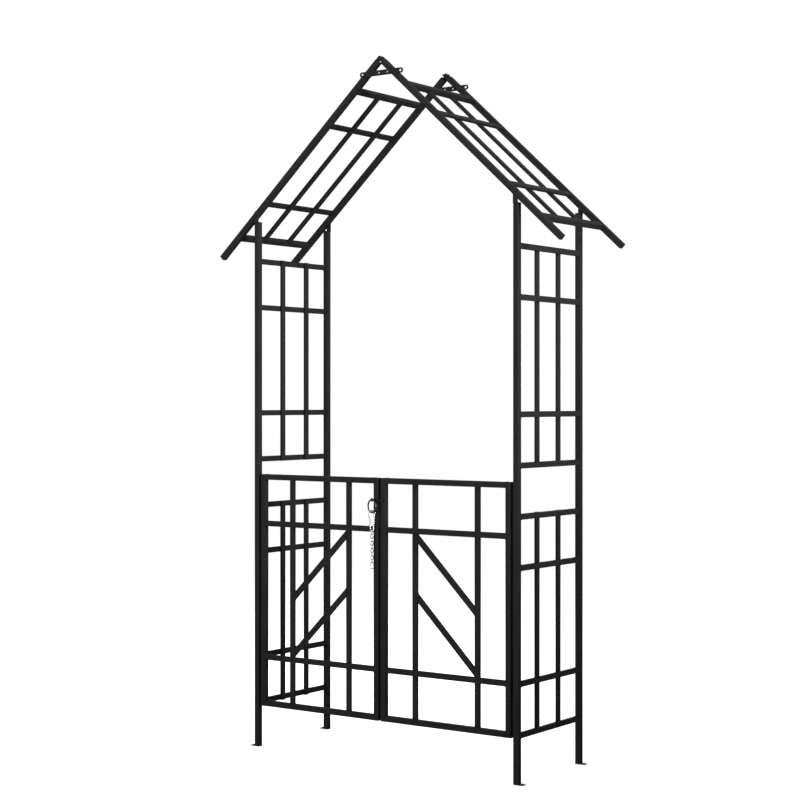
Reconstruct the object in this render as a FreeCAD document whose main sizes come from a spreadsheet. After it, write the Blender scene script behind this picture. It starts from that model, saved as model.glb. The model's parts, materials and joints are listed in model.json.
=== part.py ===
# Garden trellis arch: a gabled roof on four posts, open trellis sides and a pair of low gates in front.
# Welded square steel tube, bolted together at the eaves and ridge.
# Origin: on the ground midway between the posts.  +X right, +Y from the gated front to the back, +Z up.
import FreeCAD, Part
import math
import os
import re
import Sketcher

SIZES = (
    ("tube", 18, "outside of the square tube, and the wide side of the flat tube"),
    ("flat", 9, "thin side of the flat tube"),
    ("wall", 1, "wall of both tubes"),
    ("post_pitch_x", 1000, "left post to right post, between centres"),
    ("post_pitch_y", 367, "front post to rear post, between centres"),
    ("post_top", 1725, "height of the posts, caps included"),
    ("post_split", 884, "height at which each post comes apart"),
    ("cap_thick", 1.5, "visible part of a tube cap"),
    ("cap_plug", 8, "part of a tube cap inside the tube"),
    ("plug_play", 0.1, "play on each side of what slides into a tube"),
    ("foot_thick", 3, "foot plate thickness"),
    ("foot_reach", 16, "foot plate beyond the outer side of the post"),
    ("nail_hole", 6, "ground nail hole in the foot plate"),
    ("nail_edge", 8, "ground nail hole to the plate's outer end"),
    ("sleeve_height", 130, "splice sleeve length"),
    ("sleeve_wall", 1.2, "splice sleeve wall"),
    ("screw_rise", 47, "splice screw above the split"),
    ("screw_shank", 4, "splice screw diameter"),
    ("screw_length", 6, "splice screw under its head"),
    ("screw_head", 8, "splice screw head diameter"),
    ("screw_dome", 2.5, "splice screw head height"),
    ("rail_bottom", 145, "centre of the lowest rails"),
    ("rail_step", 152, "between the two rails of each pair, on sides, gates and roof"),
    ("rail_below_split", 91, "top rail of a lower panel below the split"),
    ("rail_above_split", 61, "bottom rail of an upper panel above the split"),
    ("rail_below_top", 128, "top rail of an upper panel below the post top"),
    ("bar_pitch_y", 125, "between the two upright bars of a side panel, and the long bars of the roof"),
    ("gate_gap", 9, "gap at the hinges and between the gates"),
    ("gate_top", 896, "height of the gates' upper edge"),
    ("gate_bar_pitch", 229.3, "between the two upright bars of a gate"),
    ("brace_angle", 45, "slope of the gate braces, degrees"),
    ("hinge_low", 286, "middle of the lower hinges"),
    ("hinge_high", 780, "middle of the upper hinges"),
    ("knuckle", 24, "length of one hinge knuckle"),
    ("knuckle_gap", 0.3, "gap between the two knuckles of a hinge"),
    ("barrel", 8, "hinge knuckle diameter"),
    ("pin", 4, "hinge pin diameter"),
    ("pin_length", 20, "hinge pin above its knuckle"),
    ("pin_play", 0.05, "play round the hinge pin"),
    ("hinge_lug", 5, "thickness of the lug that joins a knuckle to its tube"),
    ("roof_pitch", 42.27, "slope of the roof, degrees"),
    ("eave_rise", 28.1, "eave bolt above the post top"),
    ("eave_overhang", 208.3, "rafter below the eave bolt, cap included"),
    ("ridge_gap", 13, "ridge bolt to the end of each rafter"),
    ("ridge_to_crossbar", 134.5, "ridge bolt to the highest roof crossbar"),
    ("crossbar_to_end", 97.5, "lowest roof crossbar to the rafter's lower end"),
    ("tongue_thick", 3, "ridge tongue thickness"),
    ("tongue_lap", 30, "ridge tongue inside the rafter"),
    ("bolt", 6, "roof bolt diameter"),
    ("bolt_length", 30, "roof bolt under its head"),
    ("bolt_head", 10, "roof bolt head and nut, across flats"),
    ("head_thick", 4, "roof bolt head thickness"),
    ("nut_thick", 5, "roof nut thickness"),
    ("bolt_play", 0.4, "bolt holes larger than the bolt"),
    ("spacer", 12, "ridge spacer diameter"),
    ("strap_width", 17, "collar strap width"),
    ("strap_thick", 2.5, "collar strap and post tab thickness"),
    ("collar_slope", 68.5, "ridge bolt to collar bolt, along the rafter"),
    ("strap_left", 23.3, "collar strap beyond its left bolt"),
    ("strap_right", 41.3, "collar strap beyond its right bolt"),
    ("strap_eye", 8, "hanging hole at each end of a collar strap"),
    ("strap_eye_edge", 10, "hanging hole to the strap's end"),
    ("strap_hole", 5, "three small holes in a collar strap"),
    ("strap_hole_step", 32, "between the small holes"),
    ("tab_width", 17, "post tab width"),
    ("tab_lap", 4, "post tab on the post"),
    ("latch_height", 827.5, "centre of the latch eye and staple"),
    ("latch_reach", 10.5, "latch eye centre in front of the gate"),
    ("latch_inset", 16, "latch eye from the edge of its stile"),
    ("eye_wire", 3, "rod of the latch eye"),
    ("eye_play", 0.5, "play round the ring in its eye"),
    ("stem_wire", 3.6, "rod of the latch eye's stem"),
    ("arm_wire", 4, "rod of the latch arm"),
    ("arm_length", 15, "latch arm along the stile"),
    ("staple_wire", 4.5, "rod of the latch staple"),
    ("staple_width", 10, "latch staple between rod centres"),
    ("staple_reach", 9, "latch staple straight part"),
    ("ring_wire", 5, "latch ring wire"),
    ("ring_radius", 20, "latch ring, to the wire's centre"),
    ("ring_turn", 17, "latch ring and its eye turned away from the gate's plane, degrees"),
    ("strip_thick", 4, "closing strip thickness"),
    ("strip_width", 14, "closing strip width"),
    ("strip_height", 90, "closing strip height"),
    ("hook_wire", 4.5, "snap hook wire"),
    ("hook_bow", 8.75, "snap hook bow, to the wire's centre"),
    ("hook_throat", 4.6, "snap hook eye, to the wire's centre"),
    ("hook_reach", 52, "snap hook, bow centre to eye centre"),
    ("hook_play", 0.9, "gap where the hook hangs on the ring"),
    ("hook_turn", 36, "snap hook turned the other way from the gate's plane, degrees"),
    ("lever_gap", 27, "opening of the snap hook, closed by its lever"),
    ("lever_play", 1, "gap between the lever and the hook at each end"),
    ("link_wire", 2.4, "chain wire"),
    ("link_bow", 3.8, "chain link end, to the wire's centre"),
    ("link_straight", 6.1, "chain link straight part"),
    ("link_play", 0.25, "gap between chain links"),
    ("end_link_bow", 5, "last chain link end, to the wire's centre"),
    ("end_link_straight", 10, "last chain link straight part"),
)
CHAIN_LINKS = 9
SIDES = (("left", -1), ("right", 1))
ENDS = (("front", -1), ("rear", 1))

doc = FreeCAD.newDocument("TrellisArch")
sheet = doc.addObject("Spreadsheet::Sheet", "Sizes")
for row, (alias, value, note) in enumerate(SIZES, start=1):
    sheet.set(f"A{row}", note)
    sheet.set(f"B{row}", str(value))
    sheet.setAlias(f"B{row}", alias)
doc.recompute()

# Places worked out from the sizes: each is an expression, and may use the ones above it.
PLACES = {}
for place_name, place_expression in (
    ("post_x", "post_pitch_x / 2"),
    ("post_y", "post_pitch_y / 2"),
    ("panel_depth", "post_pitch_y - tube"),
    ("rail_low", "rail_bottom"),
    ("rail_lower_top", "post_split - rail_below_split"),
    ("rail_upper_bottom", "post_split + rail_above_split"),
    ("rail_top", "post_top - rail_below_top"),
    ("gate_y", "-post_y"),
    ("gate_front", "gate_y - tube / 2"),
    ("gate_bottom", "rail_bottom - tube / 2"),
    ("gate_inner", "gate_gap / 2"),
    ("gate_outer", "post_x - tube / 2 - gate_gap"),
    ("gate_middle", "(gate_inner + gate_outer) / 2"),
    ("gate_clear", "gate_outer - gate_inner - 2 * tube"),
    ("gate_rail_high", "gate_top - tube / 2"),
    ("bar_clear", "gate_bar_pitch - tube"),
    ("hinge_x", "post_x - tube / 2 - gate_gap / 2"),
    ("hinge_y", "gate_y + tube / 2 - barrel / 2"),
    ("eave_slope", "post_x / cos(roof_pitch)"),
    ("ridge_z", "post_top + eave_rise + post_x * tan(roof_pitch)"),
    ("rafter_end", "eave_slope + eave_overhang"),
    ("low_crossbar", "rafter_end - crossbar_to_end"),
    ("collar_x", "collar_slope * cos(roof_pitch)"),
    ("bolt_hole", "bolt + bolt_play"),
    ("bore", "tube - 2 * wall"),
    ("outer_face", "post_y + tube / 2"),
    ("inner_face", "post_y - tube / 2"),
    ("latch_x", "-(gate_inner + latch_inset)"),
    ("latch_y", "gate_front - latch_reach"),
    ("ring_z", "latch_height - ring_radius"),
    ("hook_top", "ring_z - ring_radius + ring_wire / 2 + hook_wire / 2 + hook_play"),
    ("hook_z", "hook_top - hook_bow"),
    ("hook_eye_z", "hook_z - hook_reach"),
    ("first_link_z", "hook_eye_z - hook_throat + hook_wire / 2 + link_wire / 2 + link_play - link_half"),
    ("link_half", "link_straight / 2 + link_bow"),
    ("link_pitch", "2 * link_half - link_wire - link_play"),
):
    PLACES[place_name] = place_expression
ALIASES = {alias for alias, _, _ in SIZES}
NODES = []


def in_sheet(expression):
    """The expression with every size and place written out as cells of the sheet."""

    def written_out(word):
        name = word.group()
        if name in PLACES:
            return f"({in_sheet(PLACES[name])})"
        return f"Sizes.{name}" if name in ALIASES else name

    return re.sub(r"[a-z][a-z_]+", written_out, str(expression))


def bind(thing, prop, expression):
    thing.setExpression(prop, in_sheet(expression))


def put(thing, at, axis=(0, 0, 1), angle="0"):
    """Places a thing by three expressions, turned about an axis by an angle in degrees."""
    thing.Placement = FreeCAD.Placement(FreeCAD.Vector(), FreeCAD.Rotation(FreeCAD.Vector(*axis), 10))
    bind(thing, "Placement.Rotation.Angle", angle)
    for letter, middle in zip("xyz", at):
        bind(thing, f"Placement.Base.{letter}", middle)
    return thing


def node(label, thing):
    """Names a finished sub-part and keeps it for export."""
    thing.Label = label
    NODES.append(thing)
    return thing


def group(label, pieces):
    compound = doc.addObject("Part::Compound", "Group")
    compound.Links = pieces
    return node(label, compound)


def joined(pieces):
    fused = doc.addObject("Part::MultiFuse", "Joined")
    fused.Shapes = pieces
    return fused


def cut(base, tool):
    remainder = doc.addObject("Part::Cut", "Cut")
    remainder.Base = base
    remainder.Tool = tool
    return remainder


def block(size, middle):
    """A box of three sizes about its middle point."""
    box = doc.addObject("Part::Box", "Block")
    for prop, extent in zip(("Length", "Width", "Height"), size):
        bind(box, prop, extent)
    corner = [f"({centre}) - ({extent}) / 2" for centre, extent in zip(middle, size)]
    return put(box, corner)


def tube(size, middle, along):
    """A tube of the given outside size, open at both ends along X, Y or Z."""
    bore = [f"({extent}) - 2 * wall" for extent in size]
    bore["xyz".index(along)] = f"({size['xyz'.index(along)]}) + 2"
    return cut(block(size, middle), block(bore, middle))


def rod(diameter, length, start, axis=(0, 0, 1), angle="0"):
    cylinder = doc.addObject("Part::Cylinder", "Rod")
    bind(cylinder, "Radius", f"({diameter}) / 2")
    bind(cylinder, "Height", length)
    return put(cylinder, start, axis, angle)


def along_y(diameter, length, start):
    """A rod from its start towards +Y."""
    return rod(diameter, length, start, (1, 0, 0), "-90")


def along_x(diameter, length, start):
    """A rod from its start towards +X."""
    return rod(diameter, length, start, (0, 1, 0), "90")


def hexagon(across, height, start, towards):
    """A six-sided prism from its start towards +Y (1) or -Y (-1)."""
    prism = doc.addObject("Part::Prism", "Hexagon")
    prism.Polygon = 6
    bind(prism, "Circumradius", f"({across}) / (2 * cos(30))")
    bind(prism, "Height", height)
    return put(prism, start, (1, 0, 0), str(-90 * towards))


def new_body():
    return doc.addObject("PartDesign::Body", "Body")


def sketch_in(body, role):
    plane = next(feature for feature in body.Origin.OriginFeatures if feature.Role == role)
    sketch = body.newObject("Sketcher::SketchObject", "Sketch")
    sketch.AttachmentSupport = [(plane, "")]
    sketch.MapMode = "FlatFace"
    return sketch


def fix(sketch, kind, *where_and_size):
    """A dimension of the sketch, bound to the sheet."""
    *where, expression = where_and_size
    number = sketch.addConstraint(Sketcher.Constraint(kind, *where, 1.0))
    bind(sketch, f"Constraints[{number}]", expression)


def draw_rectangle(sketch, width, height):
    """A rectangle about the sketch's origin."""
    corners = [(-9, -9), (9, -9), (9, 9), (-9, 9)]
    first = sketch.GeometryCount
    for (ax, ay), (bx, by) in zip(corners, corners[1:] + corners[:1]):
        sketch.addGeometry(Part.LineSegment(FreeCAD.Vector(ax, ay, 0), FreeCAD.Vector(bx, by, 0)))
    for edge in range(4):
        sketch.addConstraint(Sketcher.Constraint("Coincident", first + edge, 2, first + (edge + 1) % 4, 1))
        level = "Horizontal" if edge % 2 == 0 else "Vertical"
        sketch.addConstraint(Sketcher.Constraint(level, first + edge))
    sketch.addConstraint(Sketcher.Constraint("Symmetric", first, 1, first + 1, 2, -1, 1))
    fix(sketch, "DistanceX", first, 1, first, 2, width)
    fix(sketch, "DistanceY", first + 1, 1, first + 1, 2, height)


def draw_circle(sketch, diameter, x, y="0"):
    """A circle centred at x, y of the sketch."""
    circle = sketch.addGeometry(Part.Circle(FreeCAD.Vector(3, 3, 0), FreeCAD.Vector(0, 0, 1), 2))
    fix(sketch, "Diameter", circle, diameter)
    for kind, place, axis in (("DistanceX", x, -2), ("DistanceY", y, -1)):
        if place == "0":
            sketch.addConstraint(Sketcher.Constraint("PointOnObject", circle, 3, axis))
        else:
            fix(sketch, kind, -1, 1, circle, 3, place)


def draw_slot(sketch, width, length, square_start=False):
    """A strip along +X from the origin, round about the origin unless square, and round at its far end."""
    half = 8.0
    far = 40.0
    low, high = FreeCAD.Vector(0, -half, 0), FreeCAD.Vector(0, half, 0)
    beyond = FreeCAD.Vector(far, 0, 0)
    up = FreeCAD.Vector(0, 0, 1)
    sketch.addGeometry(Part.LineSegment(low, low + beyond))
    sketch.addGeometry(Part.ArcOfCircle(Part.Circle(beyond, up, half), -math.pi / 2, math.pi / 2))
    sketch.addGeometry(Part.LineSegment(high + beyond, high))
    if square_start:
        sketch.addGeometry(Part.LineSegment(high, low))
    else:
        origin = FreeCAD.Vector(0, 0, 0)
        sketch.addGeometry(Part.ArcOfCircle(Part.Circle(origin, up, half), math.pi / 2, 3 * math.pi / 2))
    sketch.addConstraint(Sketcher.Constraint("Tangent", 0, 2, 1, 1))
    sketch.addConstraint(Sketcher.Constraint("Tangent", 1, 2, 2, 1))
    if square_start:
        sketch.addConstraint(Sketcher.Constraint("Coincident", 2, 2, 3, 1))
        sketch.addConstraint(Sketcher.Constraint("Coincident", 3, 2, 0, 1))
        sketch.addConstraint(Sketcher.Constraint("PointOnObject", 0, 1, -2))
        sketch.addConstraint(Sketcher.Constraint("Vertical", 3))
        sketch.addConstraint(Sketcher.Constraint("Horizontal", 0))
        sketch.addConstraint(Sketcher.Constraint("Horizontal", 2))
    else:
        sketch.addConstraint(Sketcher.Constraint("Tangent", 2, 2, 3, 1))
        sketch.addConstraint(Sketcher.Constraint("Tangent", 3, 2, 0, 1))
        sketch.addConstraint(Sketcher.Constraint("Coincident", 3, 3, -1, 1))
        sketch.addConstraint(Sketcher.Constraint("Equal", 1, 3))
    sketch.addConstraint(Sketcher.Constraint("PointOnObject", 1, 3, -1))
    fix(sketch, "DistanceX", -1, 1, 1, 3, length)
    fix(sketch, "Radius", 1, f"({width}) / 2")


def pad(body, sketch, length):
    feature = body.newObject("PartDesign::Pad", "Pad")
    feature.Profile = sketch
    bind(feature, "Length", length)
    doc.recompute()
    return feature


def bore_through(body, sketch):
    """Cuts the sketch right through the body, both ways from its plane."""
    before = body.Shape.Volume
    feature = body.newObject("PartDesign::Pocket", "Pocket")
    feature.Profile = sketch
    feature.Type = "ThroughAll"
    feature.Midplane = True
    doc.recompute()
    if body.Shape.Volume >= before:
        raise ValueError("a pocket cut nothing")


def upright(label, side, end, bottom, top, screw_height=None):
    """One length of post; an upper one has the hole for its splice screw in its outer face."""
    x, y = f"{side} * post_x", f"{end} * post_y"
    height = f"({top}) - ({bottom})"
    post = tube(("tube", "tube", height), (x, y, f"(({top}) + ({bottom})) / 2"), "z")
    if screw_height:
        start = (x, f"{y} + {end} * tube / 2 - 3 * wall", screw_height)
        post = cut(post, along_y("screw_shank + bolt_play", "6 * wall", start))
    node(label, post)


def make_posts():
    for side_name, side in SIDES:
        for end_name, end in ENDS:
            upright(f"{side_name}_lower_{end_name}_post", side, end, "foot_thick", "post_split")
            upright(
                f"{side_name}_upper_{end_name}_post", side, end, "post_split", "post_top - cap_thick",
                "post_split + screw_rise",
            )


def make_side_panels():
    """Each side has two open panels: four rails on the outside with two bars welded behind them."""
    for side_name, side in SIDES:
        rail_x = f"{side} * (post_x + flat / 2)"
        bar_x = f"{side} * (post_x - flat / 2)"
        for level, bottom, top in (
            ("lower", "rail_low", "rail_lower_top"),
            ("upper", "rail_upper_bottom", "rail_top"),
        ):
            heights = (bottom, f"{bottom} + rail_step", f"{top} - rail_step", top)
            rails = [tube(("flat", "panel_depth", "tube"), (rail_x, "0", at), "y") for at in heights]
            group(f"{side_name}_{level}_rails", rails)
            bar_height = f"{top} - {bottom} + tube"
            bars = [
                tube(
                    ("flat", "tube", bar_height),
                    (bar_x, f"{end} * bar_pitch_y / 2", f"({top} + {bottom}) / 2"),
                    "z",
                )
                for _, end in ENDS
            ]
            group(f"{side_name}_{level}_bars", bars)


def foot_plate(side, end):
    """A flat plate under the post that sticks out sideways, with a hole for a ground nail."""
    body = new_body()
    outline = sketch_in(body, "XY_Plane")
    draw_rectangle(outline, "tube + foot_reach", "tube")
    draw_circle(outline, "nail_hole", "(tube + foot_reach) / 2 - nail_edge")
    pad(body, outline, "foot_thick")
    turn = "0" if side > 0 else "180"
    return put(body, (f"{side} * (post_x + foot_reach / 2)", f"{end} * post_y", "0"), (0, 0, 1), turn)


def splice_sleeve(side, end):
    """A square tube inside the joint of a post, with the splice screw's hole in its outer wall."""
    x, y = f"{side} * post_x", f"{end} * post_y"
    wide = "tube - 2 * wall - 2 * plug_play"
    bore = f"{wide} - 2 * sleeve_wall"
    outside = block((wide, wide, "sleeve_height"), (x, y, "post_split"))
    hollow = block((bore, bore, "sleeve_height + 2"), (x, y, "post_split"))
    hole_start = (x, f"{y} + {end} * tube / 2 - 3 * wall", "post_split + screw_rise")
    return cut(cut(outside, hollow), along_y("screw_shank", "6 * wall", hole_start))


def splice_screw(side, end):
    """A screw with a low domed head: half its outline turned about its own axis."""
    body = new_body()
    profile = sketch_in(body, "XZ_Plane")
    points = [(0, -6), (2, -6), (2, 0), (4, 0), (4, 1), (2, 2.5), (0, 2.5)]
    for (ax, ay), (bx, by) in zip(points, points[1:] + points[:1]):
        profile.addGeometry(Part.LineSegment(FreeCAD.Vector(ax, ay, 0), FreeCAD.Vector(bx, by, 0)))
    count = len(points)
    for edge in range(count):
        profile.addConstraint(Sketcher.Constraint("Coincident", edge, 2, (edge + 1) % count, 1))
    for edge in (0, 2, 5):
        profile.addConstraint(Sketcher.Constraint("Horizontal", edge))
    for edge in (1, 3, 6):
        profile.addConstraint(Sketcher.Constraint("Vertical", edge))
    profile.addConstraint(Sketcher.Constraint("PointOnObject", 0, 1, -2))
    profile.addConstraint(Sketcher.Constraint("PointOnObject", 2, 1, -1))
    fix(profile, "DistanceY", 1, 1, 1, 2, "screw_length")
    fix(profile, "DistanceX", 0, 1, 0, 2, "screw_shank / 2")
    fix(profile, "DistanceX", -1, 1, 3, 1, "screw_head / 2")
    fix(profile, "DistanceY", 3, 1, 3, 2, "screw_dome * 0.4")
    fix(profile, "DistanceY", -1, 1, 5, 1, "screw_dome")
    fix(profile, "DistanceX", -1, 1, 5, 1, "screw_head / 4")
    turned = body.newObject("PartDesign::Revolution", "Revolution")
    turned.Profile = profile
    turned.ReferenceAxis = (profile, ["V_Axis"])
    turned.Angle = 360
    face = f"{end} * (post_y + tube / 2)"
    return put(body, (f"{side} * post_x", face, "post_split + screw_rise"), (1, 0, 0), str(-90 * end))


def strip(thick, width, length, holes, square_start=False):
    """A flat strip upright along +X, its thickness towards -Y, with holes given as (diameter, place)."""
    body = new_body()
    outline = sketch_in(body, "XZ_Plane")
    draw_slot(outline, width, length, square_start)
    for diameter, place in holes:
        draw_circle(outline, diameter, place)
    pad(body, outline, thick)
    return body


def post_top_tab(side, end):
    """An upright tab on the post's outer face, with the eave bolt through its round top."""
    length = "tab_lap + eave_rise"
    tab = strip("strap_thick", "tab_width", length, [("bolt_hole", length)], square_start=True)
    face = "-outer_face" if end < 0 else "outer_face + strap_thick"
    return put(tab, (f"{side} * post_x", face, "post_top - tab_lap"), (0, 1, 0), "-90")


def make_post_fittings():
    corners = [(side, end) for _, side in SIDES for _, end in ENDS]
    group("foot_plates", [foot_plate(side, end) for side, end in corners])
    group("splice_sleeves", [splice_sleeve(side, end) for side, end in corners])
    group("splice_screws", [splice_screw(side, end) for side, end in corners])
    group("post_top_tabs", [post_top_tab(side, end) for side, end in corners])


def down_slope(side, distance):
    """X and Z of a point on the rafter's centre line, at a distance from the ridge bolt."""
    return f"{side} * ({distance}) * cos(roof_pitch)", f"ridge_z - ({distance}) * sin(roof_pitch)"


def on_slope(thing, side):
    """Turns what is laid out along X at the origin onto one slope of the roof."""
    return put(thing, ("0", "0", "ridge_z"), (0, 1, 0), f"{side} * roof_pitch")


def rafter(side, end):
    """A square tube down the slope, drilled for the collar bolt and the eave bolt."""
    body = new_body()
    ring = sketch_in(body, "XY_Plane")
    draw_rectangle(ring, "tube", "tube")
    draw_rectangle(ring, "tube - 2 * wall", "tube - 2 * wall")
    pad(body, ring, "rafter_end - cap_thick - ridge_gap")
    drilled = sketch_in(body, "XZ_Plane")
    for distance in ("collar_slope", "eave_slope"):
        draw_circle(drilled, "bolt_hole", "0", f"{distance} - ridge_gap")
    bore_through(body, drilled)
    x, z = down_slope(side, "ridge_gap")
    return put(body, (x, f"{end} * post_y", z), (0, 1, 0), f"{side} * (90 + roof_pitch)")


def make_rafters():
    for side_name, side in SIDES:
        for end_name, end in ENDS:
            node(f"{side_name}_{end_name}_rafter", rafter(side, end))


def make_roof_lattice():
    """Each slope: two square end crossbars, two flat crossbars over two flat long bars."""
    for side_name, side in SIDES:
        ends = [
            tube(("tube", "panel_depth", "tube"), (f"{side} * ({distance})", "0", "0"), "y")
            for distance in ("ridge_to_crossbar", "low_crossbar")
        ]
        on_slope(group(f"{side_name}_roof_end_crossbars", ends), side)
        middles = [
            tube(("tube", "panel_depth", "flat"), (f"{side} * ({distance})", "0", "flat / 2"), "y")
            for distance in ("ridge_to_crossbar + rail_step", "low_crossbar - rail_step")
        ]
        on_slope(group(f"{side_name}_roof_mid_crossbars", middles), side)
        length = "low_crossbar - ridge_to_crossbar - tube"
        middle = f"{side} * (low_crossbar + ridge_to_crossbar) / 2"
        bars = [
            tube((length, "tube", "flat"), (middle, f"{end} * bar_pitch_y / 2", "-flat / 2"), "x")
            for _, end in ENDS
        ]
        on_slope(group(f"{side_name}_roof_long_bars", bars), side)


def tube_cap():
    """A square cap whose plug points down: the cap's top face is at the origin."""
    plug = "tube - 2 * wall - 2 * plug_play"
    top = block(("tube", "tube", "cap_thick"), ("0", "0", "-cap_thick / 2"))
    inner = block((plug, plug, "cap_plug"), ("0", "0", "-cap_thick - cap_plug / 2"))
    return joined([top, inner])


def make_caps():
    caps = []
    for _, side in SIDES:
        for _, end in ENDS:
            caps.append(put(tube_cap(), (f"{side} * post_x", f"{end} * post_y", "post_top")))
            x, z = down_slope(side, "rafter_end")
            at = (x, f"{end} * post_y", z)
            caps.append(put(tube_cap(), at, (0, 1, 0), f"{side} * (90 + roof_pitch)"))
    group("tube_end_caps", caps)


def ridge_tongue(side, end):
    """A flat tongue in the top of a rafter, its round end about the ridge bolt.

    A left one lies against the rafter's outer wall and a right one against its inner wall.
    """
    length = "ridge_gap + tongue_lap"
    tongue = strip("tongue_thick", "bore", length, [("bolt_hole", length)], square_start=True)
    outermost = "outer_face - wall" if side < 0 else "inner_face + wall + tongue_thick"
    face = f"{outermost}" if end > 0 else f"-({outermost}) + tongue_thick"
    x, z = down_slope(side, length)
    turn = "-roof_pitch" if side < 0 else "180 + roof_pitch"
    return put(tongue, (x, face, z), (0, 1, 0), turn)


def collar_strap(face):
    """A flat strap across a pair of rafters below the ridge, longer on the right."""
    left_bolt = "strap_left - strap_width / 2"
    length = "strap_left + strap_right + 2 * collar_x - strap_width"
    eye = "strap_eye_edge - strap_width / 2"
    holes = [("strap_eye", eye), ("strap_eye", f"{length} - ({eye})")]
    holes += [("bolt_hole", left_bolt), ("bolt_hole", f"{left_bolt} + 2 * collar_x")]
    holes += [("strap_hole", f"{left_bolt} + collar_x + {step} * strap_hole_step") for step in (-1, 0, 1)]
    body = strip("strap_thick", "strap_width", length, holes)
    _, z = down_slope(1, "collar_slope")
    return put(body, (f"-collar_x - ({left_bolt})", face, z))


def ridge_spacer(end):
    """A short tube round the ridge bolt, between the two tongues."""
    length = "bore - 2 * tongue_thick"
    start = ("0", f"{end} * post_y - ({length}) / 2", "ridge_z")
    through = ("0", f"{end} * post_y - ({length}) / 2 - 1", "ridge_z")
    return cut(along_y("spacer", length, start), along_y("bolt_hole", f"{length} + 2", through))


def roof_bolt(x, z, under_head, towards):
    """A hexagon bolt from under its head towards +Y (1) or -Y (-1)."""
    shank = rod("bolt", "bolt_length", (x, under_head, z), (1, 0, 0), str(-90 * towards))
    return joined([shank, hexagon("bolt_head", "head_thick", (x, under_head, z), -towards)])


def roof_nut(x, z, seat, towards):
    """A hexagon nut from its seat towards +Y (1) or -Y (-1)."""
    bore = rod("bolt", "nut_thick + 2", (x, f"{seat} - {towards}", z), (1, 0, 0), str(-90 * towards))
    return cut(hexagon("bolt_head", "nut_thick", (x, seat, z), towards), bore)


def make_roof_fittings():
    for side_name, side in SIDES:
        group(f"{side_name}_ridge_tongues", [ridge_tongue(side, end) for _, end in ENDS])
    group("ridge_spacers", [ridge_spacer(end) for _, end in ENDS])
    node("front_collar_strap", collar_strap("-outer_face"))
    node("rear_collar_strap", collar_strap("inner_face"))
    bolts = []
    nuts = []
    for _, end in ENDS:
        ridge = ("0", "ridge_z")
        bolts.append(roof_bolt(*ridge, f"{end} * (outer_face - wall)", -end))
        nuts.append(roof_nut(*ridge, f"{end} * (inner_face + wall)", -end))
        for _, side in SIDES:
            eave = (f"{side} * post_x", "post_top + eave_rise")
            bolts.append(roof_bolt(*eave, f"{end} * (outer_face + strap_thick)", -end))
            nuts.append(roof_nut(*eave, f"{end} * inner_face", -end))
            collar = down_slope(side, "collar_slope")
            under_head = "-outer_face - strap_thick" if end < 0 else "inner_face - strap_thick"
            bolts.append(roof_bolt(*collar, under_head, 1))
            nuts.append(roof_nut(*collar, "-inner_face" if end < 0 else "outer_face", 1))
    group("roof_bolts", bolts)
    group("roof_nuts", nuts)


def gate_stile(x):
    """An upright of a gate: a square tube closed at the top and open at the bottom."""
    solid_height = "gate_top - gate_bottom"
    bore_height = f"{solid_height} - wall + 1"
    solid = block(("tube", "tube", solid_height), (x, "gate_y", "(gate_top + gate_bottom) / 2"))
    hollow = block(("bore", "bore", bore_height), (x, "gate_y", "(gate_top + gate_bottom - wall - 1) / 2"))
    return cut(solid, hollow)


def gate_brace(side, middle_z):
    """A sloping flat tube between the gate's two bars, rising towards the middle of the arch."""
    length = "bar_clear / cos(brace_angle) + 2 * tube"
    middle = (f"{side} * gate_middle", "gate_y + flat / 2", middle_z)
    level = tube((length, "flat", "tube"), ("0", "0", "0"), "x")
    sloping = put(level, middle, (0, 1, 0), f"{side} * brace_angle")
    trimmed = doc.addObject("Part::Common", "Trimmed")
    trimmed.Base = sloping
    trimmed.Tool = block(("bar_clear", "tube", length), middle)
    return trimmed


def make_gate_leaves():
    """Each leaf: two stiles and two end rails, mid rails at the front, bars and braces at the back."""
    for side_name, side in SIDES:
        middle = f"{side} * gate_middle"
        node(f"{side_name}_gate_hinge_stile", gate_stile(f"{side} * (gate_outer - tube / 2)"))
        node(f"{side_name}_gate_latch_stile", gate_stile(f"{side} * (gate_inner + tube / 2)"))
        end_rails = [
            tube(("gate_clear", "tube", "tube"), (middle, "gate_y", at), "x")
            for at in ("rail_bottom", "gate_rail_high")
        ]
        group(f"{side_name}_gate_end_rails", end_rails)
        mid_rails = [
            tube(("gate_clear", "flat", "tube"), (middle, "gate_y - flat / 2", at), "x")
            for at in ("rail_bottom + rail_step", "gate_rail_high - rail_step")
        ]
        group(f"{side_name}_gate_mid_rails", mid_rails)
        bar_height = "gate_rail_high - rail_bottom - tube"
        bar_z = "(gate_rail_high + rail_bottom) / 2"
        bars = [
            tube(
                ("tube", "flat", bar_height),
                (f"{middle} + {way} * gate_bar_pitch / 2", "gate_y + flat / 2", bar_z),
                "z",
            )
            for way in (-1, 1)
        ]
        group(f"{side_name}_gate_bars", bars)
        rise = "bar_clear / 2 * tan(brace_angle) + tube / 2 / cos(brace_angle)"
        low = f"rail_bottom + rail_step + tube / 2 + {rise}"
        high = f"gate_rail_high - rail_step - tube / 2 - ({rise})"
        group(f"{side_name}_gate_braces", [gate_brace(side, low), gate_brace(side, high)])


def hinge_pintle(side, height):
    """The lower knuckle of a hinge, welded to the post, with its pin standing in the gate's socket."""
    x = f"{side} * hinge_x"
    knuckle = rod("barrel", "knuckle - knuckle_gap / 2", (x, "hinge_y", f"{height} - knuckle"))
    pin = rod("pin", "knuckle + pin_length", (x, "hinge_y", f"{height} - knuckle"))
    lug_at = (f"{side} * (hinge_x + gate_gap / 4)", "hinge_y", f"{height} - knuckle / 2")
    lug = block(("gate_gap / 2", "hinge_lug", "knuckle - 2"), lug_at)
    return joined([knuckle, pin, lug])


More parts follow.
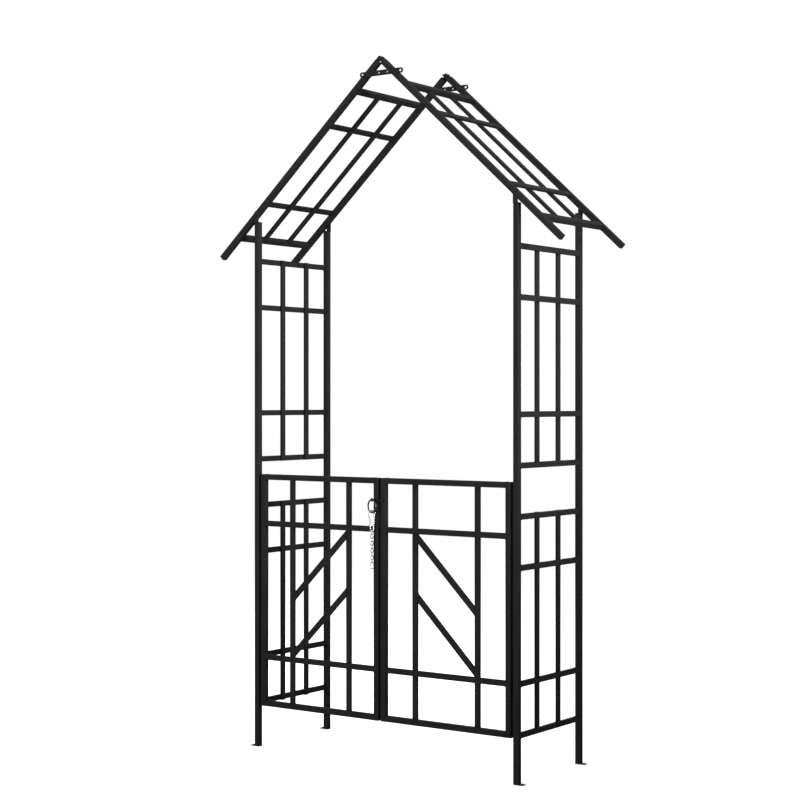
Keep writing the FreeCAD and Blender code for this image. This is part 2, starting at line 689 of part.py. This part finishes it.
def hinge_socket(side, height):
    """The upper knuckle of a hinge, welded to the gate, bored for the pin."""
    x = f"{side} * hinge_x"
    knuckle = rod("barrel", "knuckle - knuckle_gap / 2", (x, "hinge_y", f"{height} + knuckle_gap / 2"))
    lug_at = (f"{side} * (hinge_x - gate_gap / 4)", "hinge_y", f"{height} + knuckle / 2")
    lug = block(("gate_gap / 2", "hinge_lug", "knuckle - 2"), lug_at)
    bore = rod("pin + 2 * pin_play", "knuckle + 2", (x, "hinge_y", f"{height} - 1"))
    return cut(joined([knuckle, lug]), bore)


def make_hinges():
    heights = ("hinge_low", "hinge_high")
    group("hinge_pintles", [hinge_pintle(side, height) for _, side in SIDES for height in heights])
    for side_name, side in SIDES:
        group(f"{side_name}_hinge_sockets", [hinge_socket(side, height) for height in heights])


def ring(wire, radius, middle, axis, angle, sweep=360):
    torus = doc.addObject("Part::Torus", "Ring")
    bind(torus, "Radius1", radius)
    bind(torus, "Radius2", f"({wire}) / 2")
    torus.Angle3 = sweep
    return put(torus, middle, axis, angle)


def latch_eye():
    """An eye on a short stem, with an arm welded along the front of the left gate's latch stile."""
    radius = "ring_wire / 2 + eye_play + eye_wire / 2"
    upright = ring("eye_wire", radius, ("0", "0", "0"), (0, 1, 0), "90")
    eye = doc.addObject("Part::Compound", "Eye")
    eye.Links = [upright]
    put(eye, ("latch_x", "latch_y", "latch_height"), (0, 0, 1), "-ring_turn")
    stem_start = (f"latch_x + ({radius}) * sin(ring_turn)", "gate_front", "latch_height")
    stem = rod("stem_wire", f"latch_reach - ({radius}) * cos(ring_turn)", stem_start, (1, 0, 0), "90")
    arm = along_x("arm_wire", "arm_length", ("latch_x", "gate_front - arm_wire / 2", "latch_height"))
    return joined([eye, stem, arm])


def latch_staple():
    """A U of round rod, both feet welded to the front of the right gate's latch stile."""
    x = "gate_inner + tube / 2"
    front = (x, "gate_front - staple_reach", "latch_height")
    bow = ring("staple_wire", "staple_width / 2", front, (0, 0, 1), "180", 180)
    legs = []
    for way in (-1, 1):
        foot = (f"{x} + {way} * staple_width / 2", "gate_front", "latch_height")
        legs.append(rod("staple_wire", "staple_reach", foot, (1, 0, 0), "90"))
    return joined([bow, *legs])


def wire_loop(wire, near, far, reach):
    """A closed loop of round wire: an arc about the origin, one about a point above it, and two straights."""
    body = new_body()
    path = sketch_in(body, "XZ_Plane")
    up = FreeCAD.Vector(0, 0, 1)
    top = FreeCAD.Vector(0, 20, 0)
    path.addGeometry(Part.ArcOfCircle(Part.Circle(FreeCAD.Vector(0, 0, 0), up, 4), math.pi, 2 * math.pi))
    path.addGeometry(Part.LineSegment(FreeCAD.Vector(4, 0, 0), FreeCAD.Vector(6, 20, 0)))
    path.addGeometry(Part.ArcOfCircle(Part.Circle(top, up, 6), 0, math.pi))
    path.addGeometry(Part.LineSegment(FreeCAD.Vector(-6, 20, 0), FreeCAD.Vector(-4, 0, 0)))
    for edge in range(4):
        path.addConstraint(Sketcher.Constraint("Tangent", edge, 2, (edge + 1) % 4, 1))
    path.addConstraint(Sketcher.Constraint("Coincident", 0, 3, -1, 1))
    path.addConstraint(Sketcher.Constraint("PointOnObject", 2, 3, -2))
    fix(path, "Radius", 0, near)
    fix(path, "Radius", 2, far)
    fix(path, "DistanceY", -1, 1, 2, 3, reach)
    section = sketch_in(body, "XY_Plane")
    draw_circle(section, wire, near)
    pipe = body.newObject("PartDesign::AdditivePipe", "Pipe")
    pipe.Profile = section
    pipe.Spine = (path, [])
    doc.recompute()
    return body


def snap_hook_loop():
    """The whole outline of the snap hook about its lower eye, before its opening is cut."""
    return wire_loop("hook_wire", "hook_throat", "hook_bow", "hook_reach")


def at_hook(thing):
    """Hangs a thing made about the hook's lower eye in its place on the ring."""
    return put(thing, ("latch_x", "latch_y", "hook_eye_z"), (0, 0, 1), "hook_turn")


def make_snap_hook():
    """A pear-shaped wire hook, and the sprung lever that closes the opening in its left side."""
    wide = "hook_bow + hook_wire"
    middle = (f"-({wide}) / 2", "0", "hook_reach - lever_gap / 2")
    opening = block((wide, wide, "lever_gap"), middle)
    node("snap_hook_body", at_hook(cut(snap_hook_loop(), opening)))
    within = block((wide, wide, "lever_gap - 2 * lever_play"), middle)
    lever = doc.addObject("Part::Common", "Lever")
    lever.Base = snap_hook_loop()
    lever.Tool = within
    node("snap_hook_lever", at_hook(lever))


def chain_link(middle_z, bow, straight, turn):
    link = wire_loop("link_wire", bow, bow, straight)
    return put(link, ("latch_x", "latch_y", f"{middle_z} - {straight} / 2"), (0, 0, 1), turn)


def make_chain():
    """Equal links, each turned a quarter from the one above, and a larger link at the end."""
    links = []
    for number in range(CHAIN_LINKS):
        turn = f"hook_turn + {90 * (number % 2 + 1)}"
        links.append(chain_link(f"first_link_z - {number} * link_pitch", "link_bow", "link_straight", turn))
    last_z = f"first_link_z - {CHAIN_LINKS - 1} * link_pitch"
    end_half = "(end_link_straight / 2 + end_link_bow)"
    end_z = f"{last_z} - link_half + link_wire + link_play - {end_half}"
    turn = f"hook_turn + {90 * (CHAIN_LINKS % 2 + 1)}"
    links.append(chain_link(end_z, "end_link_bow", "end_link_straight", turn))
    group("chain_links", links)


def make_latch():
    node("left_latch_eye", latch_eye())
    node("right_latch_staple", latch_staple())
    strip_x = "-(gate_inner - strip_thick / 2)"
    strip_y = "gate_y + tube / 2 - strip_width / 2"
    strip_size = ("strip_thick", "strip_width", "strip_height")
    node("closing_strip", block(strip_size, (strip_x, strip_y, "latch_height - strip_height / 2")))
    loop = doc.addObject("Part::Compound", "Ring")
    loop.Links = [ring("ring_wire", "ring_radius", ("0", "0", "0"), (1, 0, 0), "90")]
    node("latch_ring", put(loop, ("latch_x", "latch_y", "ring_z"), (0, 0, 1), "-ring_turn"))
    make_snap_hook()
    make_chain()


def check_model():
    """Stops if any object failed to compute, or a sub-part has no valid shape."""
    for thing in doc.Objects:
        if {"Invalid", "Error"} & set(thing.State):
            raise ValueError(f"{thing.Name} ({thing.Label}) did not compute")
    for thing in NODES:
        if thing.Shape.isNull() or not thing.Shape.isValid() or not thing.Shape.Solids:
            raise ValueError(f"{thing.Label} has no valid shape")


def export_nodes():
    os.makedirs("parts", exist_ok=True)
    for thing in NODES:
        thing.Shape.exportStep(f"parts/{thing.Label}.step")


make_posts()
make_side_panels()
make_post_fittings()
make_rafters()
make_roof_lattice()
make_caps()
make_roof_fittings()
make_gate_leaves()
make_hinges()
make_latch()
doc.recompute()
check_model()
export_nodes()
print(f"{len(NODES)} sub-parts, {sum(len(thing.Shape.Solids) for thing in NODES)} solids")
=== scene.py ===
# Garden arch: black steel tube with a lattice roof, two open sides and a pair of gates.
import json
import math
import bmesh
import bpy
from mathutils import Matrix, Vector


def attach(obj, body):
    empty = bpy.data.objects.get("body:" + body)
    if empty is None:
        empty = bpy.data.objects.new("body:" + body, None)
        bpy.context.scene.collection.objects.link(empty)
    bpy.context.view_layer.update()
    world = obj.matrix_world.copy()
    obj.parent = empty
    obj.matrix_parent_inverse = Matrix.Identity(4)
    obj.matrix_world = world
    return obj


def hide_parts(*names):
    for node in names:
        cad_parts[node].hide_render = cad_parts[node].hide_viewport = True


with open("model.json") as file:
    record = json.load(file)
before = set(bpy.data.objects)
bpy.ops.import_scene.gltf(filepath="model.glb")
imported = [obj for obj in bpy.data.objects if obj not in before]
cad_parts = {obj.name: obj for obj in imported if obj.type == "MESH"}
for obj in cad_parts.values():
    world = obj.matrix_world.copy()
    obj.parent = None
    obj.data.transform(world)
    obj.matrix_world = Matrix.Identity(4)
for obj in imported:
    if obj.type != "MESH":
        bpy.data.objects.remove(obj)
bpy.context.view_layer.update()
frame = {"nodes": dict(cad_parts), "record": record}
nodes = frame["nodes"]
record = frame["record"]
bodies = record["behaviour"]["bodies"]
bodyOf = {name: body for body, names in bodies.items() for name in names}
slotOf = {part["node"]: part["material_slot"] for part in record["subparts"]}
mm = 0.001
print("frame loaded:", len(nodes), "nodes")


def linear(hexColour):
    parts = [int(hexColour[i:i + 2], 16) / 255 for i in (0, 2, 4)]
    return [c / 12.92 if c < 0.04045 else ((c + 0.055) / 1.055) ** 2.4 for c in parts] + [1.0]


def addNode(tree, kind, settings=None, **inputs):
    # settings are the node's own options; each input is a value, or another node's output socket
    node = tree.nodes.new(kind)
    for name, value in (settings or {}).items():
        setattr(node, name, value)
    for name, value in inputs.items():
        key = int(name[1:]) if name[0] == "i" and name[1:].isdigit() else name.replace("_", " ")
        socket = node.inputs[key]
        if isinstance(value, bpy.types.NodeSocket):
            tree.links.new(value, socket)
        else:
            socket.default_value = value
    return node


def newMaterial(name):
    material = bpy.data.materials.new(name)
    material.use_nodes = True
    tree = material.node_tree
    tree.nodes.clear()
    place = addNode(tree, "ShaderNodeTexCoord").outputs["Object"]
    return material, tree, place


def finishMaterial(tree, shader):
    addNode(tree, "ShaderNodeOutputMaterial", Surface=shader.outputs[0])


# Polyester powder coat, sprayed and baked on mild steel: a nearly matt black with a fine orange peel.
powderCoat = {
    "dark": "0b0b0c", "light": "121213", "roughLow": 0.38, "roughHigh": 0.5, "gloss": 0.004,
    "peelSize": 1.6 * mm, "driftSize": 90 * mm, "peelDepth": 0.05 * mm,
}
coatNoise = {"driftDetail": 3.0, "peelDetail": 2.0, "peelRoughness": 0.4, "driftLow": 0.3, "driftHigh": 0.7,
             "bumpStrength": 0.35, "index": 1.5}


def makePowderCoat(name, look):
    material, tree, place = newMaterial(name)
    drift = addNode(
        tree, "ShaderNodeTexNoise", Vector=place, Scale=1 / look["driftSize"], Detail=coatNoise["driftDetail"]
    )
    peel = addNode(
        tree, "ShaderNodeTexNoise", Vector=place, Scale=1 / look["peelSize"], Detail=coatNoise["peelDetail"],
        Roughness=coatNoise["peelRoughness"],
    )
    colour = addNode(tree, "ShaderNodeMix", {"data_type": "RGBA"}, Factor=drift.outputs["Fac"])
    colour.inputs[6].default_value = linear(look["dark"])
    colour.inputs[7].default_value = linear(look["light"])
    rough = addNode(
        tree, "ShaderNodeMapRange", Value=drift.outputs["Fac"], From_Min=coatNoise["driftLow"],
        From_Max=coatNoise["driftHigh"], To_Min=look["roughLow"], To_Max=look["roughHigh"],
    )
    bump = addNode(
        tree, "ShaderNodeBump", Height=peel.outputs["Fac"], Strength=coatNoise["bumpStrength"],
        Distance=look["peelDepth"],
    )
    shader = addNode(
        tree, "ShaderNodeBsdfPrincipled", Base_Color=colour.outputs[2], Roughness=rough.outputs[0],
        Normal=bump.outputs[0], IOR=coatNoise["index"], Specular_IOR_Level=look["gloss"],
    )
    finishMaterial(tree, shader)
    return material


# Zinc plate, blue-clear passivated: a grey metal with small cloudy spangles and bright glints.
zincPlate = {"dark": "2c2e30", "light": "7c7e80", "spangle": 5 * mm, "roughLow": 0.2, "roughHigh": 0.34,
             "cloudDetail": 4.0, "grainShare": 0.5, "farthest": 0.8, "bumpStrength": 0.2,
             "bumpDepth": 0.05 * mm}


def makeZincPlate(name, look):
    material, tree, place = newMaterial(name)
    cloud = addNode(
        tree, "ShaderNodeTexNoise", Vector=place, Scale=1 / look["spangle"], Detail=look["cloudDetail"]
    )
    grainScale = 1 / (look["spangle"] * look["grainShare"])
    grains = addNode(tree, "ShaderNodeTexVoronoi", Vector=place, Scale=grainScale)
    colour = addNode(tree, "ShaderNodeMix", {"data_type": "RGBA"}, Factor=cloud.outputs["Fac"])
    colour.inputs[6].default_value = linear(look["dark"])
    colour.inputs[7].default_value = linear(look["light"])
    rough = addNode(
        tree, "ShaderNodeMapRange", Value=grains.outputs["Distance"], From_Min=0.0, From_Max=look["farthest"],
        To_Min=look["roughLow"], To_Max=look["roughHigh"],
    )
    bump = addNode(
        tree, "ShaderNodeBump", Height=cloud.outputs["Fac"], Strength=look["bumpStrength"],
        Distance=look["bumpDepth"],
    )
    shader = addNode(
        tree, "ShaderNodeBsdfPrincipled", Base_Color=colour.outputs[2], Roughness=rough.outputs[0],
        Normal=bump.outputs[0], Metallic=1.0,
    )
    finishMaterial(tree, shader)
    return material


# Injection-moulded polyethylene: the caps are a shade duller than the tubes, with a fine eroded grain.
moulding = {"dark": "0b0b0b", "light": "131313", "roughLow": 0.5, "roughHigh": 0.62,
            "peelSize": 0.7 * mm, "driftSize": 20 * mm, "peelDepth": 0.04 * mm, "gloss": 0.01}
# The ring's coat is thicker and glossier than the frame's.
ringCoat = {"dark": "060606", "light": "0a0a0a", "roughLow": 0.18, "roughHigh": 0.28,
            "peelSize": 2.5 * mm, "driftSize": 30 * mm, "peelDepth": 0.02 * mm, "gloss": 0.15}

finishes = {
    "black": makePowderCoat("blackPowderCoat", powderCoat),
    "caps": makePowderCoat("mouldedPolyethylene", moulding),
    "ring": makePowderCoat("glossPowderCoat", ringCoat),
    "zinc": makeZincPlate("zincPlate", zincPlate),
}
print("materials ready")


def newPiece(name, mesh, body, slot, smooth=35):
    piece = bpy.data.objects.new(name, mesh)
    bpy.context.scene.collection.objects.link(piece)
    mesh.materials.clear()
    mesh.materials.append(finishes[slot])
    mesh.shade_smooth()
    mesh.set_sharp_from_angle(angle=math.radians(smooth))
    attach(piece, body)
    return piece


def bakeModifiers(piece):
    # turns the evaluated object into a plain mesh and drops the modifiers
    evaluated = piece.evaluated_get(bpy.context.evaluated_depsgraph_get())
    mesh = bpy.data.meshes.new_from_object(evaluated)
    bpy.data.objects.remove(piece)
    return mesh


# Drawn tube has round corners: every long outer edge is rolled to this radius.
rounding = {"tube": 1.0 * mm, "plate": 0.5 * mm, "bolt": 0.45 * mm, "segments": 3, "longEdge": 25 * mm,
            "shortEdge": 2.5 * mm, "weldDistance": 0.01 * mm, "flatAngle": 1, "cornerAngle": 50}
plateParts = {"foot_plates", "post_top_tabs", "front_collar_strap", "rear_collar_strap", "tube_end_caps",
              "closing_strip", "left_ridge_tongues", "right_ridge_tongues"}
boltParts = {"roof_bolts", "roof_nuts"}
keptParts = {
    "splice_sleeves", "splice_screws", "ridge_spacers", "latch_ring", "chain_links", "snap_hook_body",
    "snap_hook_lever", "left_latch_eye", "right_latch_staple", "hinge_pintles", "left_hinge_sockets",
    "right_hinge_sockets",
}


def roundedCopy(name):
    # the node's mesh, merged into faces, with its outer edges rolled
    kind = "plate" if name in plateParts else "bolt" if name in boltParts else "tube"
    radius = rounding[kind]
    shortest = rounding["longEdge"] if kind == "tube" else rounding["shortEdge"]
    mesh = nodes[name].data.copy()
    shape = bmesh.new()
    shape.from_mesh(mesh)
    bmesh.ops.remove_doubles(shape, verts=shape.verts, dist=rounding["weldDistance"])
    flat = math.radians(rounding["flatAngle"])
    bmesh.ops.dissolve_limit(shape, angle_limit=flat, verts=shape.verts, edges=shape.edges)
    weight = shape.edges.layers.float.new("bevel_weight_edge")
    corner = math.radians(rounding["cornerAngle"])
    for edge in shape.edges:
        square = len(edge.link_faces) == 2 and edge.is_convex and edge.calc_face_angle() > corner
        edge[weight] = 1.0 if square and edge.calc_length() > shortest else 0.0
    shape.to_mesh(mesh)
    shape.free()
    rough = bpy.data.objects.new("rough", mesh)
    bpy.context.scene.collection.objects.link(rough)
    bevel = rough.modifiers.new("rolled", "BEVEL")
    bevel.limit_method = "WEIGHT"
    bevel.width = radius
    bevel.segments = rounding["segments"]
    bevel.use_clamp_overlap = False
    return bakeModifiers(rough)


for name in sorted(nodes):
    if name in keptParts:
        node = nodes[name]
        for index in range(len(node.material_slots)):
            node.material_slots[index].material = finishes[slotOf[name]]
        continue
    piece = newPiece(name + "_rolled", roundedCopy(name), bodyOf[name], slotOf[name])
    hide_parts(name)
print("tubes and plates rolled")


# Weld beads: the small overlapping ripples round each end of a welded rail, bar or brace.
weld = {"radius": 1.5 * mm, "spacing": 2.6 * mm, "small": 0.75, "large": 1.2, "facets": 1, "seed": 7,
        "sink": 0.4 * mm, "longShare": 0.3, "parallel": 0.999}
weldedEnds = {
    "sides": ["left_lower_rails", "left_upper_rails", "right_lower_rails", "right_upper_rails"],
    "roof": ["left_roof_end_crossbars", "left_roof_mid_crossbars", "left_roof_long_bars",
             "right_roof_end_crossbars", "right_roof_mid_crossbars", "right_roof_long_bars"],
    "leftGate": ["left_gate_end_rails", "left_gate_mid_rails", "left_gate_bars", "left_gate_braces"],
    "rightGate": ["right_gate_end_rails", "right_gate_mid_rails", "right_gate_bars", "right_gate_braces"],
}


def makeBeadTree():
    tree = bpy.data.node_groups.new("weldBeads", "GeometryNodeTree")
    face = tree.interface
    face.new_socket("Seams", in_out="INPUT", socket_type="NodeSocketGeometry")
    for name in ("Radius", "Spacing", "Small", "Large"):
        face.new_socket(name, in_out="INPUT", socket_type="NodeSocketFloat")
    face.new_socket("Facets", in_out="INPUT", socket_type="NodeSocketInt")
    face.new_socket("Seed", in_out="INPUT", socket_type="NodeSocketInt")
    face.new_socket("Finish", in_out="INPUT", socket_type="NodeSocketMaterial")
    face.new_socket("Beads", in_out="OUTPUT", socket_type="NodeSocketGeometry")
    given = tree.nodes.new("NodeGroupInput").outputs
    curve = addNode(tree, "GeometryNodeMeshToCurve", Mesh=given["Seams"])
    spaced = addNode(
        tree, "GeometryNodeResampleCurve", {"mode": "LENGTH"}, Curve=curve.outputs["Curve"],
        Length=given["Spacing"],
    )
    bead = addNode(tree, "GeometryNodeMeshIcoSphere", Radius=given["Radius"], Subdivisions=given["Facets"])
    size = addNode(
        tree, "FunctionNodeRandomValue", {"data_type": "FLOAT"}, i2=given["Small"], i3=given["Large"],
        Seed=given["Seed"],
    )
    turn = addNode(
        tree, "FunctionNodeRandomValue", {"data_type": "FLOAT_VECTOR"}, i1=(math.tau, math.tau, math.tau),
        Seed=given["Seed"],
    )
    placed = addNode(
        tree, "GeometryNodeInstanceOnPoints", Points=spaced.outputs["Curve"], Instance=bead.outputs["Mesh"],
        Rotation=turn.outputs[0], Scale=size.outputs[1],
    )
    real = addNode(tree, "GeometryNodeRealizeInstances", Geometry=placed.outputs["Instances"])
    painted = addNode(
        tree, "GeometryNodeSetMaterial", Geometry=real.outputs["Geometry"], Material=given["Finish"]
    )
    addNode(tree, "NodeGroupOutput", Beads=painted.outputs["Geometry"])
    return tree


def placeKey(point):
    # a point as whole steps, so that sorting by it gives one order however the mesh is numbered
    return tuple(round(value / rounding["weldDistance"]) for value in point)


def piecesOf(shape):
    # the separate pieces of a mesh, each a list of its vertices
    seen = set()
    for first in shape.verts:
        if first in seen:
            continue
        piece, front = [], [first]
        seen.add(first)
        while front:
            vert = front.pop()
            piece.append(vert)
            for edge in vert.link_edges:
                other = edge.other_vert(vert)
                if other not in seen:
                    seen.add(other)
                    front.append(other)
        yield piece


def barsOf(name):
    # the separate bars of a node: each its direction, and its four long outer edges as (low end, high end)
    shape = bmesh.new()
    shape.from_mesh(nodes[name].data)
    bmesh.ops.remove_doubles(shape, verts=shape.verts, dist=rounding["weldDistance"])
    corner = math.radians(rounding["cornerAngle"])
    bars = []
    for piece in piecesOf(shape):
        edges = {edge for vert in piece for edge in vert.link_edges if len(edge.link_faces) == 2}
        square = [edge for edge in edges if edge.is_convex and edge.calc_face_angle() > corner]
        square.sort(key=lambda edge: placeKey(edge.verts[0].co + edge.verts[1].co))
        longest = max(square, key=lambda edge: round(edge.calc_length() / rounding["weldDistance"]))
        along = (longest.verts[1].co - longest.verts[0].co).normalized()
        if max(along, key=abs) < 0:
            along = -along
        sides = []
        for edge in square:
            line = edge.verts[1].co - edge.verts[0].co
            parallel = abs(line.normalized().dot(along)) > weld["parallel"]
            if parallel and line.length > weld["longShare"] * longest.calc_length():
                ends = [vert.co.copy() for vert in edge.verts]
                sides.append(sorted(ends, key=lambda p: p.dot(along)))
        if len(sides) == 4:
            bars.append((along, sides))
    shape.free()
    return sorted(bars, key=lambda bar: placeKey(sum((low + high for low, high in bar[1]), Vector())))


def makeSeams(names):
    # one closed four-cornered line round each end of every bar, sunk a little so the beads bed in
    points, lines = [], []
    for name in names:
        for along, sides in barsOf(name):
            for end in (0, 1):
                corners = [side[end] for side in sides]
                middle = sum(corners, Vector()) / 4
                across = (corners[0] - middle).normalized()
                over = along.cross(across)
                corners.sort(key=lambda p: math.atan2((p - middle).dot(over), (p - middle).dot(across)))
                start = len(points)
                points += [p - (p - middle).normalized() * weld["sink"] for p in corners]
                lines += [(start + i, start + (i + 1) % 4) for i in range(4)]
    mesh = bpy.data.meshes.new("seams")
    mesh.from_pydata(points, lines, [])
    return mesh


beadTree = makeBeadTree()
socketOf = {item.name: item.identifier for item in beadTree.interface.items_tree if item.in_out == "INPUT"}
beadSizes = {"Radius": "radius", "Spacing": "spacing", "Small": "small", "Large": "large", "Facets": "facets",
             "Seed": "seed"}
for place, names in weldedEnds.items():
    seams = bpy.data.objects.new("seams", makeSeams(names))
    bpy.context.scene.collection.objects.link(seams)
    beads = seams.modifiers.new("beads", "NODES")
    beads.node_group = beadTree
    for socket, key in beadSizes.items():
        beads[socketOf[socket]] = weld[key]
    beads[socketOf["Finish"]] = finishes["black"]
    mesh = bakeModifiers(seams)
    newPiece(place + "_welds", mesh, bodyOf[names[0]], "black", smooth=80)
    print("welds:", place, len(mesh.polygons), "faces")


# Studio: a pale floor, a pale room all round, and soft boxes with grids that keep their light off the floor.
studio = {
    "floor": "fafafa", "floorGrain": 40.0, "floorRoughLow": 0.75, "floorRoughHigh": 0.9, "floorSize": 40,
    "world": "ffffff", "worldPower": 1.04,
}
lights = {
    "key": {"power": 55, "size": 1.2, "spread": 44, "place": (3.4, -1.2, 3.5), "target": (0.1, 0, 2.2)},
    "fill": {"power": 108, "size": 2.4, "spread": 40, "place": (-0.8, -8.0, 1.8), "target": (0, 0, 1.5)},
    "side": {"power": 22, "size": 0.8, "spread": 20, "place": (6.0, -0.8, 1.5), "target": (0, 0, 1.25)},
    "back": {"power": 60, "size": 2.4, "spread": 40, "place": (-2.5, 8.0, 2.2), "target": (0, 0, 1.4)},
}


def makeFloor():
    material, tree, place = newMaterial("paleFloor")
    grain = addNode(tree, "ShaderNodeTexNoise", Vector=place, Scale=studio["floorGrain"], Detail=2.0)
    rough = addNode(
        tree, "ShaderNodeMapRange", Value=grain.outputs["Fac"], To_Min=studio["floorRoughLow"],
        To_Max=studio["floorRoughHigh"],
    )
    shader = addNode(
        tree, "ShaderNodeBsdfPrincipled", Base_Color=linear(studio["floor"]), Roughness=rough.outputs[0],
        Specular_IOR_Level=0.0,
    )
    finishMaterial(tree, shader)
    mesh = bpy.data.meshes.new("floor")
    size = studio["floorSize"]
    corners = [(-size, -size, 0), (size, -size, 0), (size, size, 0), (-size, size, 0)]
    mesh.from_pydata(corners, [], [(0, 1, 2, 3)])
    floor = bpy.data.objects.new("floor", mesh)
    bpy.context.scene.collection.objects.link(floor)
    mesh.materials.append(material)


def makeLight(name, lamp):
    data = bpy.data.lights.new(name, "AREA")
    data.energy = lamp["power"]
    data.size = lamp["size"]
    data.spread = math.radians(lamp["spread"])
    light = bpy.data.objects.new(name, data)
    bpy.context.scene.collection.objects.link(light)
    light.location = lamp["place"]
    aim = Vector(lamp["target"]) - Vector(lamp["place"])
    light.rotation_euler = aim.to_track_quat("-Z", "Y").to_euler()


def makeStudio():
    bpy.context.scene.view_settings.view_transform = "Standard"  # keeps white white and black black
    world = bpy.data.worlds.new("studio")
    bpy.context.scene.world = world
    world.use_nodes = True
    background = world.node_tree.nodes["Background"]
    background.inputs["Color"].default_value = linear(studio["world"])
    background.inputs["Strength"].default_value = studio["worldPower"]
    makeFloor()
    for name, lamp in lights.items():
        makeLight(name, lamp)


camera = {
    "place": (3.2406, -4.6135, 1.1414), "turn": 35.55, "lens": 78.94, "sensor": 36,
    "shiftX": -0.0005, "shiftY": -0.00075, "farthest": 200,
}


def makeCamera():
    data = bpy.data.cameras.new("camera")
    data.lens = camera["lens"]
    data.sensor_width = camera["sensor"]
    data.shift_x = camera["shiftX"]
    data.shift_y = camera["shiftY"]
    data.clip_end = camera["farthest"]
    eye = bpy.data.objects.new("camera", data)
    bpy.context.scene.collection.objects.link(eye)
    eye.location = camera["place"]
    eye.rotation_euler = (math.radians(90), 0, math.radians(camera["turn"]))
    bpy.context.scene.camera = eye


makeStudio()
makeCamera()
print("studio ready")
